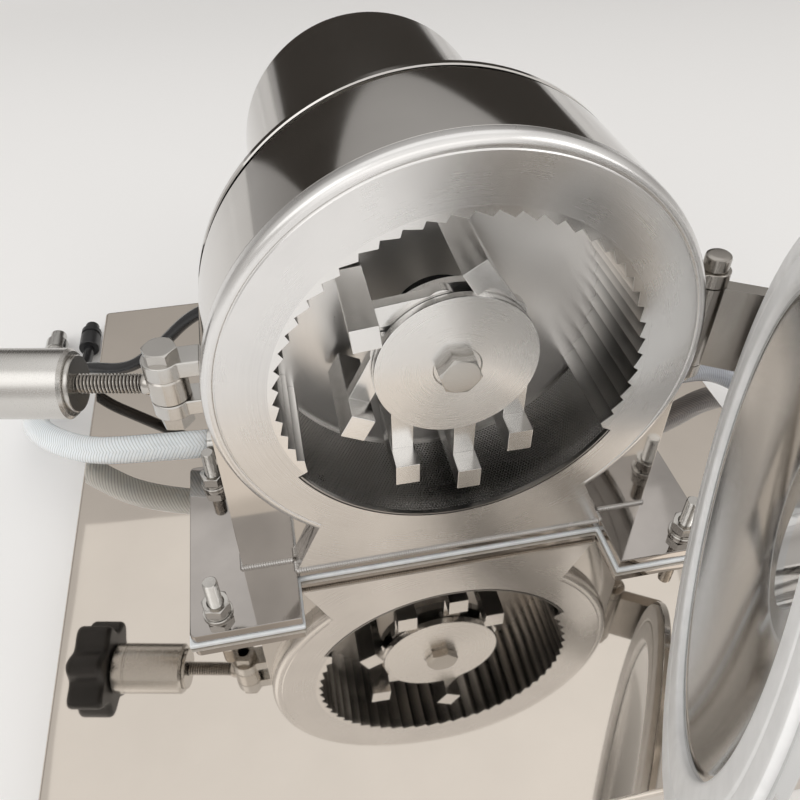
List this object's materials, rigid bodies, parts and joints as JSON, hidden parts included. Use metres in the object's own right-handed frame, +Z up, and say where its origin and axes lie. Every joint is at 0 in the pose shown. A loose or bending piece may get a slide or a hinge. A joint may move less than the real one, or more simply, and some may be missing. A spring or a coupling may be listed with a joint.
{
  "type": "sugar grinding machine",
  "caption": "Swing-hammer sugar mill: round water-cooled drum with toothed liner, screen and hinged door with feed hopper, driven by a shrouded motor on a polished bed plate.",
  "frame": {"origin": "centre of the powder outlet's round spigot, level with the standing surface", "axes": "+X to the right as seen from the front, +Y to the back along the rotor axis, +Z up"},
  "size_m": [0.707, 0.7025, 0.37],
  "materials": {
    "polished_steel": "polished",
    "satin_steel": "satin",
    "dark_steel": "satin",
    "bearing_steel": "ground",
    "white_silicone": "matte",
    "black_rubber": "matte",
    "cast_grey": "painted grey",
    "core_iron": "matte",
    "copper": "varnished",
    "black_plastic": "moulded",
    "clear_hose": "braided, half clear"
  },
  "bodies": {
    "frame": {"bed_plate": "polished_steel", "bed_skirt": "polished_steel", "outlet_collar": "polished_steel", "base_gasket": "white_silicone", "base_flange": "satin_steel", "base_studs": "satin_steel", "base_washers": "satin_steel", "base_spring_washers": "satin_steel", "base_nuts": "satin_steel", "housing_shell": "polished_steel", "front_ring": "polished_steel", "back_plate": "polished_steel", "chamber_sleeve": "satin_steel", "toothed_liner": "satin_steel", "screen": "dark_steel", "shaft_seal": "black_rubber", "front_bearing": "bearing_steel", "rear_bearing": "bearing_steel", "rear_flange": "polished_steel", "motor_front_shield": "cast_grey", "motor_rear_shield": "cast_grey", "motor_shroud": "polished_steel", "stator_core": "core_iron", "stator_windings": "copper", "motor_saddle": "cast_grey", "saddle_bolts": "satin_steel", "bolt_clevis": "satin_steel", "swing_pivot": "satin_steel", "hinge_ears": "satin_steel", "hinge_pin": "satin_steel", "water_elbows": "satin_steel", "water_hose_left": "clear_hose", "water_hose_right": "clear_hose", "hose_coupling_left": "satin_steel", "hose_coupling_right": "satin_steel", "lead_gland": "black_plastic", "motor_lead": "black_rubber", "lead_connector": "black_plastic"},
    "rotor": {"rotor_front_disc": "satin_steel", "rotor_rear_disc": "satin_steel", "hammer_pins": "satin_steel", "rotor_bolt": "satin_steel", "drive_shaft": "satin_steel", "rotor_core": "core_iron"},
    "hammer_a": {"hammer_1": "satin_steel"},
    "hammer_b": {"hammer_2": "satin_steel"},
    "hammer_c": {"hammer_3": "satin_steel"},
    "hammer_d": {"hammer_4": "satin_steel"},
    "hammer_e": {"hammer_5": "satin_steel"},
    "hammer_f": {"hammer_6": "satin_steel"},
    "door": {"door_hinge_arm": "satin_steel", "door_shell": "polished_steel", "door_gasket": "white_silicone", "door_lug": "satin_steel", "feed_pipe": "polished_steel", "feed_funnel": "polished_steel"},
    "swing_arm": {"swing_bolt": "satin_steel"},
    "clamp_pad": {"clamp_washer": "satin_steel"},
    "clamp_knob": {"clamp_sleeve": "satin_steel", "star_knob": "black_plastic"}
  },
  "joints": [
    {"name": "rotor_spin", "type": "hinge", "parent": "frame", "child": "rotor", "pos_m": [0, 0, 0.218], "axis": [0, 1, 0], "continuous": true},
    {"name": "hammer_1_swing", "type": "hinge", "parent": "rotor", "child": "hammer_a", "pos_m": [0.03244, -0.0174, 0.24773], "axis": [0, -1, 0], "range_deg": [-79.5, 0]},
    {"name": "hammer_2_swing", "type": "hinge", "parent": "rotor", "child": "hammer_b", "pos_m": [-0.00952, -0.0174, 0.26096], "axis": [0, -1, 0], "range_deg": [-83.5, 0]},
    {"name": "hammer_3_swing", "type": "hinge", "parent": "rotor", "child": "hammer_c", "pos_m": [-0.04196, -0.0174, 0.23123], "axis": [0, -1, 0], "range_deg": [-80.5, 0]},
    {"name": "hammer_4_swing", "type": "hinge", "parent": "rotor", "child": "hammer_d", "pos_m": [-0.03244, -0.0174, 0.18827], "axis": [0, -1, 0], "range_deg": [-47.5, 0]},
    {"name": "hammer_5_swing", "type": "hinge", "parent": "rotor", "child": "hammer_e", "pos_m": [0.00952, -0.0174, 0.17504], "axis": [0, -1, 0], "range_deg": [-20, 22.5]},
    {"name": "hammer_6_swing", "type": "hinge", "parent": "rotor", "child": "hammer_f", "pos_m": [0.04196, -0.0174, 0.20477], "axis": [0, -1, 0], "range_deg": [0, 72.5]},
    {"name": "door_hinge", "type": "hinge", "parent": "frame", "child": "door", "pos_m": [0.163, -0.014, 0.218], "axis": [0, 0, 1], "range_deg": [-59, 51]},
    {"name": "bolt_swing", "type": "hinge", "parent": "frame", "child": "swing_arm", "pos_m": [-0.17, -0.007, 0.218], "axis": [0, 0, 1], "range_deg": [-10, 101.5]},
    {"name": "clamp_slide", "type": "slide", "parent": "swing_arm", "child": "clamp_pad", "axis": [-0.9799, 0.1994, 0], "range_m": [-0.0009, 0.0117]},
    {"name": "knob_turn", "type": "hinge", "parent": "clamp_pad", "child": "clamp_knob", "pos_m": [-0.17, -0.007, 0.218], "axis": [-0.9799, 0.1994, 0], "range_deg": [-180, 2400]}
  ],
  "couplings": [
    {"joint": "clamp_slide", "follows": "knob_turn", "m_per_rad": 0.00027852}
  ]
}
